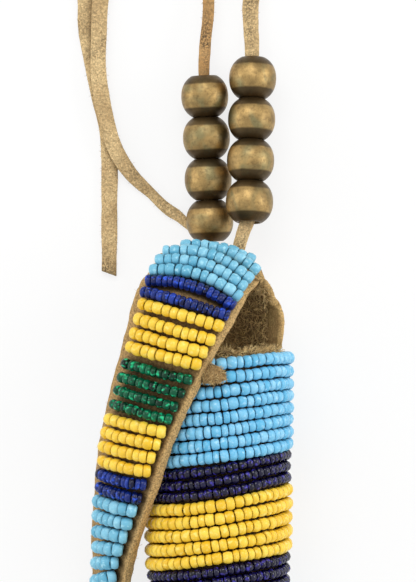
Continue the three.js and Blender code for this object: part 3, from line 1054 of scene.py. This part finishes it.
def spread_rows(lines, count):
    """Fewer rows over the same length: lines between the given ones, evenly spaced."""
    spread = []
    for index in range(count):
        before, share = divmod(index * (len(lines) - 1) / (count - 1), 1)
        near = lines[int(before)]
        far = lines[min(int(before) + 1, len(lines) - 1)]
        spread.append([a.lerp(b, share) for a, b in zip(near, far)])
    return spread


def sewn_line(line, margin):
    """A row's line with its left end kept on the narrowing hide, a margin in from where it was, and its
    right end pulled down by the thread."""
    narrowed, pulled, fall = 4.2 * MM, 1.8 * MM, 0.15
    left = margin + narrowed * ramp(line[0].y, -14, -34)
    total = line_length(line)
    bend = total - pulled
    crest = point_on(line, bend)[0].z
    last = 2 * len(line)
    sewn = []
    for index in range(last + 1):
        along = left + (total - left) * index / last
        point = point_on(line, along)[0].copy()
        if along > bend:
            point.z = min(point.z, crest - fall * (along - bend))
        sewn.append(point)
    return sewn


def slipped_line(line, after, slip):
    """A row's line moved part of the way to the line after it, less in the middle than at the ends."""
    middle, ends = slip
    last = len(line) - 1
    moved = []
    for index, (point, other) in enumerate(zip(line, after)):
        share = (2 * index / last - 1) ** 2
        moved.append(point.lerp(other, middle + (ends - middle) * share))
    return moved


def shifted_line(line, shift):
    """A line moved along itself, straight on past its right end."""
    straight = (line[-1] - line[-3]).normalized()
    longer = [*line, line[-1] + straight * shift]
    total = line_length(line)
    steps = len(line) - 1
    return [point_on(longer, shift + total * step / steps)[0] for step in range(steps + 1)]


class AWL_OT_lid_rows(bpy.types.Operator):
    """Rows of seed beads sewn across the lid and over its fold"""

    bl_idname = "awl_case.lid_rows"
    bl_label = "Lid rows"

    def execute(self, context):
        beads = context.scene.awl_case_beads
        groups = {}
        threads = {"case": bmesh.new(), "lid_flap": bmesh.new()}
        order = sorted(LID_ROWS, key=row_order)
        lines = {node: shifted_line(row_line(node), ROW_SHIFTS.get(node, 0) * MM) for node in order}
        for node, after in zip(order, order[1:]):
            if node in ROW_SLIPS:
                lines[node] = slipped_line(lines[node], lines[after], ROW_SLIPS[node])
        for node in LID_ROWS:
            body = "lid_flap" if node.startswith("flap") else "case"
            groups.setdefault((body, colour_of(node)), []).append(node)
        for number, ((body, key), nodes) in enumerate(sorted(groups.items())):
            kind = {"cobalt": "cobalt", "green": "dark"}.get(key, "seed")
            diameter = getattr(beads, kind + "_diameter")
            length = getattr(beads, kind + "_length")
            string = BeadString(300 + number)
            margin = LEFT_MARGINS.get(key, 0) * MM
            group = [(sewn_line(lines[node], margin), diameter) for node in sorted(nodes)]
            if body == "lid_flap" and key == "light_blue":
                tip_rows = spread_rows([line for line, _ in group[FOLD_ROWS:]], TIP_ROWS)
                group = group[:FOLD_ROWS] + [(line, diameter * TIP_GROWTH) for line in tip_rows]
            for line, across in group:
                string.string(line, across, length, LEVELLED)
                thread_along(threads[body], line)
            glass = "sky_blue" if key == "light_blue" else key
            string.finish(f"{body}_{key}_rows", glass + " seed glass", body, nodes, key + "_glass")
        for body, bm in threads.items():
            bmesh.ops.recalc_face_normals(bm, faces=bm.faces)
            add_piece(body + "_row_threads", bm, "sinew thread", body, ())
        return {"FINISHED"}


# Brass beads and lacing stub


class AWL_OT_brass_beads(bpy.types.Operator):
    """Two stacks of turned brass beads on the carrying thong"""

    bl_idname = "awl_case.brass_beads"
    bl_label = "Brass beads"

    def execute(self, context):
        brass = context.scene.awl_case_brass
        for side in ("left", "right"):
            nodes = sorted(name for name in frame["nodes"] if name.startswith(f"brass_bead_{side}"))
            centres = [sum(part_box(name), Vector()) / 2 for name in nodes]
            along = (centres[-1] - centres[0]).normalized()
            bm = bmesh.new()
            bm.verts.layers.float.new("along")
            for centre in centres:
                self.add_bead(bm, brass, Matrix.Translation(centre) @ turned_to(along))
            add_piece(side + "_brass_beads", bm, "tarnished brass", side + "_brass_stack", nodes)
        return {"FINISHED"}

    @staticmethod
    def add_bead(bm, brass, place):
        """A full-shouldered ball cut square at its ends, with a straight bore along Z. Each vert keeps its
        share of the way along the bead, from -1 to 1, for the rubbed band."""
        radius = brass.diameter / 2
        bore = brass.bore / 2
        end = brass.height / 2
        fullness = 2.2
        steps = 24
        profile = []
        for step in range(steps + 1):
            z = end * math.sin(math.pi * (step / steps - 0.5))
            profile.append((radius * (1 - (abs(z) / radius) ** fullness) ** (1 / fullness), z))
        lip = 0.1 * MM
        profile += [(bore + lip, end), (bore, end - lip), (bore, lip - end), (bore + lip, -end)]
        ball = bmesh.new()
        share = ball.verts.layers.float.new("along")
        verts = [ball.verts.new((x, 0, z)) for x, z in profile]
        edges = [ball.edges.new(pair) for pair in zip(verts, verts[1:] + verts[:1])]
        full_spin(ball, verts + edges, (0, 0, 1), steps=56, near=0.001 * MM)
        for vert in ball.verts:
            vert[share] = vert.co.z / end
        bmesh.ops.transform(ball, matrix=place, verts=ball.verts)
        add_copy(bm, ball)


class AWL_OT_lacing_stub(bpy.types.Operator):
    """Pointed end of a lacing thong on the front of the wrap, beside the flap's edge"""

    bl_idname = "awl_case.lacing_stub"
    bl_label = "Lacing stub"

    def execute(self, context):
        low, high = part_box("lacing_stub")
        tucked = 0.6 * MM
        low.x -= tucked
        high.x -= tucked
        middle = (low + high) / 2
        half = (high - low) / 2
        line = smooth_line(
            [
                Vector((low.x - 0.8 * MM, middle.y + 0.5 * MM, middle.z - 0.2 * MM)),
                Vector((low.x + half.x * 0.6, middle.y + 0.3 * MM, middle.z + 0.15 * MM)),
                Vector((low.x + half.x * 1.4, middle.y - 0.1 * MM, middle.z)),
                Vector((high.x, middle.y - 0.5 * MM, middle.z - 0.3 * MM)),
            ],
            steps=5,
        )
        shares = [index / (len(line) - 1) for index in range(len(line))]
        widths = [(2 * half.y * max(1 - share**3, 0.12), 2 * half.z * (1 - 0.6 * share)) for share in shares]
        bm = bmesh.new()
        ring = bmesh.ops.create_circle(bm, segments=12, radius=0.5)["verts"]
        sweep(bm, ring, line, widths, True)
        bmesh.ops.recalc_face_normals(bm, faces=bm.faces)
        uneven = 0.12 * MM
        for vert in bm.verts:
            vert.co += vert.normal * (uneven * noise.noise(vert.co * per_size(0.8)))
        add_piece("lacing_stub_end", bm, "smoked hide", "case", ["lacing_stub"])
        return {"FINISHED"}


# Loose fibres


def curled_hair(bend):
    """One hair of length 1 that starts along Z and bends through an angle, as a mesh."""
    bm = bmesh.new()
    bmesh.ops.create_circle(bm, segments=3, radius=0.034)
    ring = bm.verts[:] + bm.edges[:]
    middle = (1 / bend, 0, 0)
    bmesh.ops.spin(bm, geom=ring, axis=(0, 1, 0), cent=middle, angle=bend, steps=5, use_merge=False)
    bmesh.ops.recalc_face_normals(bm, faces=bm.faces)
    return as_mesh(bm, "curled_hair")


def to_micron(point):
    """A place to the micrometre, to sort by, since the order of a mesh's faces isn't fixed."""
    return tuple(round(value, 6) for value in point)


class FibreCoat:
    """Collects the loose fibres of one piece."""

    ROOTED = 0.05 * MM
    BENDS = (0.5, 1.3, 2.2)

    def __init__(self, seed):
        self.bm = bmesh.new()
        self.rand = random.Random(seed)
        self.hairs = [curled_hair(bend) for bend in self.BENDS]

    def cover(self, piece, wanted, count, lengths, lift):
        """Roots a count of fibres on those faces of a piece whose centre and normal are wanted. lengths has
        the shortest and the longest in mm, and lift is how far they stand up, from 0 to 1."""
        mesh = piece.data
        faces = [face for face in mesh.polygons if wanted(face.center, face.normal)]
        faces.sort(key=lambda face: to_micron(face.center))
        rand = self.rand
        for face in rand.choices(faces, [face.area for face in faces], k=count):
            corners = sorted((mesh.vertices[index].co for index in face.vertices), key=to_micron)
            shares = [rand.random() for _ in corners]
            root = sum((co * share for co, share in zip(corners, shares)), Vector()) / sum(shares)
            loose = Vector([rand.gauss(0, 1) for _ in range(3)])
            flat = (loose - face.normal * loose.dot(face.normal)).normalized()
            way = face.normal * (lift * rand.uniform(0.4, 1.2)) + flat
            size = rand.uniform(*lengths) * MM
            place = (
                Matrix.Translation(root - face.normal * self.ROOTED)
                @ turned_to(way)
                @ Matrix.Rotation(rand.uniform(0, 2 * math.pi), 4, "Z")
                @ Matrix.Scale(size, 4)
            )
            hair = rand.choice(self.hairs)
            hair.transform(place)
            self.bm.from_mesh(hair)
            hair.transform(place.inverted())

    def finish(self, name, body, finish="hide fibre"):
        for hair in self.hairs:
            bpy.data.meshes.remove(hair)
        return add_piece(name, self.bm, finish, body, ())


class AWL_OT_fibres(bpy.types.Operator):
    """Loose fibres inside the hood, round the mouth and along the cut edges of the lid"""

    bl_idname = "awl_case.fibres"
    bl_label = "Hide fibres"

    def execute(self, context):
        pieces = bpy.data.objects
        axis = TubeForm(context.scene.awl_case_beads).radius(0)
        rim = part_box("hide_tube")[1].y

        def inside(centre, normal):
            inward = centre.x * normal.x + (centre.z - axis) * normal.z < 0
            return inward and centre.y > rim and abs(centre.x) < 8.6 * MM

        def at_mouth(centre, normal):
            return centre.y > rim - 1.2 * MM and centre.z > axis

        def cut_edge(centre, normal):
            return normal.x > 0.45

        def anywhere(centre, normal):
            return True

        lining = FibreCoat(503)
        lining.cover(pieces["hood_skin"], inside, count=2300, lengths=(0.8, 2.1), lift=0.55)
        lining.cover(pieces["hide_tube_skin"], at_mouth, count=1700, lengths=(0.7, 1.6), lift=0.8)
        lining.cover(pieces["lacing_stub_end"], anywhere, count=380, lengths=(0.4, 1.1), lift=0.25)
        lining.finish("lining_fibres", "case", "lining fibre")
        case = FibreCoat(501)
        case.cover(pieces["hood_skin"], anywhere, count=500, lengths=(0.2, 0.5), lift=0.7)
        case.finish("case_fibres", "case")
        flap = FibreCoat(502)
        flap.cover(pieces["flap_skin"], cut_edge, count=900, lengths=(0.3, 0.9), lift=0.6)
        flap.cover(pieces["flap_skin"], anywhere, count=700, lengths=(0.3, 0.7), lift=0.6)
        flap.finish("flap_fibres", "lid_flap")
        return {"FINISHED"}


# Finishes

# each glass's pale tone, its painted glints, its roughness and its shine
GLASS = {
    "light_blue": ("8ccff0", "a8defa", 0.34, 0.5),
    "sky_blue": ("8fd0e8", "a4def0", 0.34, 0.5),
    "yellow": ("ffdc4e", "ffe676", 0.34, 0.5),
    "navy": ("120e3c", "4038a8", 0.13, 0.45),
    "cobalt": ("1a3a9e", "2f5ce0", 0.15, 0.36),
    "green": ("066b47", "24cc8c", 0.12, 0.28),
}


class AWL_OT_finishes(bpy.types.Operator):
    """Materials of the hide, thongs, glass, brass and thread"""

    bl_idname = "awl_case.finishes"
    bl_label = "Finishes"

    def execute(self, context):
        beads = context.scene.awl_case_beads
        hide = context.scene.awl_case_hide
        for key, (pale, glint, roughness, shine) in GLASS.items():
            colour = getattr(beads, key)[:]
            seed_glass(key + " seed glass", colour, linear(pale), linear(glint), roughness, shine)
        napped = hide.hide_colour[:]
        # painted light: the hood's hide is 1.7 times lighter than the rest of the hide, to lift the shade inside
        # the hood
        lining = shade(napped, 1.7)
        thong = hide.thong_colour[:]
        smoked_hide("smoked hide", napped, napped, sand=0.76, soot=0.35, shade_strength=0.95, reach=1.3)
        smoked_hide("smoked hide lining", lining, lining, sand=0.76, soot=0.2, shade_strength=0.62, reach=5)
        smoked_hide("smoked hide thong", thong, linear("d6b481"), sand=0.58, soot=0.8, shade_strength=0.35, reach=1.3)
        hide_fibre("hide fibre", napped)
        # painted light: pale fibres, lighter than the hide's, to lift the shade inside the hood; they also lie
        # round the mouth and on the lacing stub
        hide_fibre("lining fibre", linear("f0c88e"))
        tarnished_brass("tarnished brass", context.scene.awl_case_brass.colour[:])
        sinew_thread("sinew thread")
        return {"FINISHED"}


# Stage

# each softbox's place and size in metres, and its share of the power
SOFTBOXES = {
    "head softbox": ((-0.12, 0.5, 0.62), (0.5, 0.28), 0.7),
    "right softbox": ((0.6, 0.12, 0.3), (0.4, 0.24), 0.5),
    "left softbox": ((-0.6, 0.12, 0.22), (0.4, 0.24), 0.25),
}


class AWL_OT_stage(bpy.types.Operator):
    """Camera straight above, pale floor and soft white light"""

    bl_idname = "awl_case.stage"
    bl_label = "Stage"

    # the picture's middle on the floor, under a camera that looks straight down
    PICTURE_MIDDLE = Vector((-1.82, 11.6, 0)) * MM
    BRASS_LEVEL = 5 * MM
    SENSOR = 36
    FLOOR_HALF = 3
    FLOOR_WHITE = 0.78
    # where the dome's ends begin, and the share of the light there
    END_SPAN = (0.72, 0.9)
    END_LIGHT = 0.35

    def execute(self, context):
        stage = context.scene.awl_case_stage
        context.scene.view_settings.view_transform = "Standard"
        self.add_camera(context.scene, stage)
        self.add_floor(stage)
        self.add_sky(context.scene, stage)
        return {"FINISHED"}

    def add_camera(self, scene, stage):
        camera = bpy.data.cameras.new("camera_above")
        camera.sensor_fit = "VERTICAL"
        camera.sensor_height = self.SENSOR
        camera.lens = self.SENSOR * (stage.camera_height - self.BRASS_LEVEL) / stage.view_height
        camera.clip_start = 0.01
        above = add_object("camera_above", camera)
        above.location = self.PICTURE_MIDDLE + UP * stage.camera_height
        scene.camera = above

    def add_floor(self, stage):
        """A pale floor that looks white, to the eye and in what is polished, and keeps its shadows."""
        bm = bmesh.new()
        bmesh.ops.create_grid(bm, x_segments=1, y_segments=1, size=self.FLOOR_HALF)
        mesh = as_mesh(bm, "floor")
        paint = bpy.data.materials.new("pale floor")
        tree = empty_tree(paint)
        matt = add_node(tree, "ShaderNodeBsdfDiffuse", {"Color": stage.floor_colour[:]})
        glow = add_node(tree, "ShaderNodeEmission", {"Color": (1, 1, 1, 1), "Strength": 1.0})
        path = add_node(tree, "ShaderNodeLightPath").outputs
        seen = path["Is Camera Ray"]
        for ray in ("Is Glossy Ray", "Is Transmission Ray"):
            seen = combined(tree, "MAXIMUM", seen, path[ray])
        lifted = combined(tree, "MULTIPLY", seen, self.FLOOR_WHITE)
        mixed = add_node(tree, "ShaderNodeMixShader", {0: lifted, 1: matt.outputs[0], 2: glow.outputs[0]})
        add_node(tree, "ShaderNodeOutputMaterial", {"Surface": mixed.outputs[0]})
        mesh.materials.append(paint)
        floor = add_object("floor", mesh)

    def add_sky(self, scene, stage):
        """A white dome that is open at the head and foot ends, where the room is darker, and softboxes."""
        world = bpy.data.worlds.new("white dome")
        tree = empty_tree(world)
        way = add_node(tree, "ShaderNodeTexCoord").outputs["Generated"]
        parts = add_node(tree, "ShaderNodeSeparateXYZ", {0: way})
        ends = combined(tree, "ABSOLUTE", parts.outputs["Y"])
        light = (stage.sky_strength, stage.sky_strength * self.END_LIGHT)
        bright = ranged(tree, ends, self.END_SPAN, light, interpolation_type="SMOOTHSTEP")
        sky = add_node(tree, "ShaderNodeBackground", {"Color": (1, 1, 1, 1), "Strength": bright})
        add_node(tree, "ShaderNodeOutputWorld", {"Surface": sky.outputs[0]})
        scene.world = world
        for name, (place, size, share) in SOFTBOXES.items():
            lamp = bpy.data.lights.new(name, "AREA")
            lamp.shape = "RECTANGLE"
            lamp.size, lamp.size_y = size
            lamp.energy = stage.softbox_power * share
            softbox = add_object(name, lamp)
            softbox.location = place
            softbox.rotation_euler = (-softbox.location).to_track_quat("-Z", "Y").to_euler()


class AWL_PT_panel(bpy.types.Panel):
    """Lists the operators that build the awl case"""

    bl_idname = "AWL_PT_panel"
    bl_label = "Awl case"
    bl_space_type = "VIEW_3D"
    bl_region_type = "UI"
    bl_category = "Awl case"

    def draw(self, context):
        for operator in OPERATORS:
            self.layout.operator(operator.bl_idname)


GROUPS = {
    "awl_case_beads": AwlCaseBeads,
    "awl_case_hide": AwlCaseHide,
    "awl_case_brass": AwlCaseBrass,
    "awl_case_stage": AwlCaseStage,
}
OPERATORS = [
    AWL_OT_stage,
    AWL_OT_finishes,
    AWL_OT_brass_beads,
    AWL_OT_carrying_thong,
    AWL_OT_tie_thong,
    AWL_OT_hide_tube,
    AWL_OT_wound_strands,
    AWL_OT_lid_hide,
    AWL_OT_lid_rows,
    AWL_OT_lacing_stub,
    AWL_OT_fibres,
]


def register():
    for group in GROUPS.values():
        bpy.utils.register_class(group)
    for operator in OPERATORS:
        bpy.utils.register_class(operator)
    bpy.utils.register_class(AWL_PT_panel)
    for name, group in GROUPS.items():
        setattr(bpy.types.Scene, name, bpy.props.PointerProperty(type=group))


def unregister():
    for name in GROUPS:
        delattr(bpy.types.Scene, name)
    bpy.utils.unregister_class(AWL_PT_panel)
    for made in [*OPERATORS, *GROUPS.values()]:
        bpy.utils.unregister_class(made)


def main():
    register()
    bpy.ops.awl_case.stage()
    bpy.ops.awl_case.finishes()
    bpy.ops.awl_case.brass_beads()
    bpy.ops.awl_case.carrying_thong()
    bpy.ops.awl_case.tie_thong()
    bpy.ops.awl_case.hide_tube()
    bpy.ops.awl_case.wound_strands()
    bpy.ops.awl_case.lid_hide()
    bpy.ops.awl_case.lid_rows()
    bpy.ops.awl_case.lacing_stub()
    bpy.ops.awl_case.fibres()


if __name__ == "__main__":
    main()
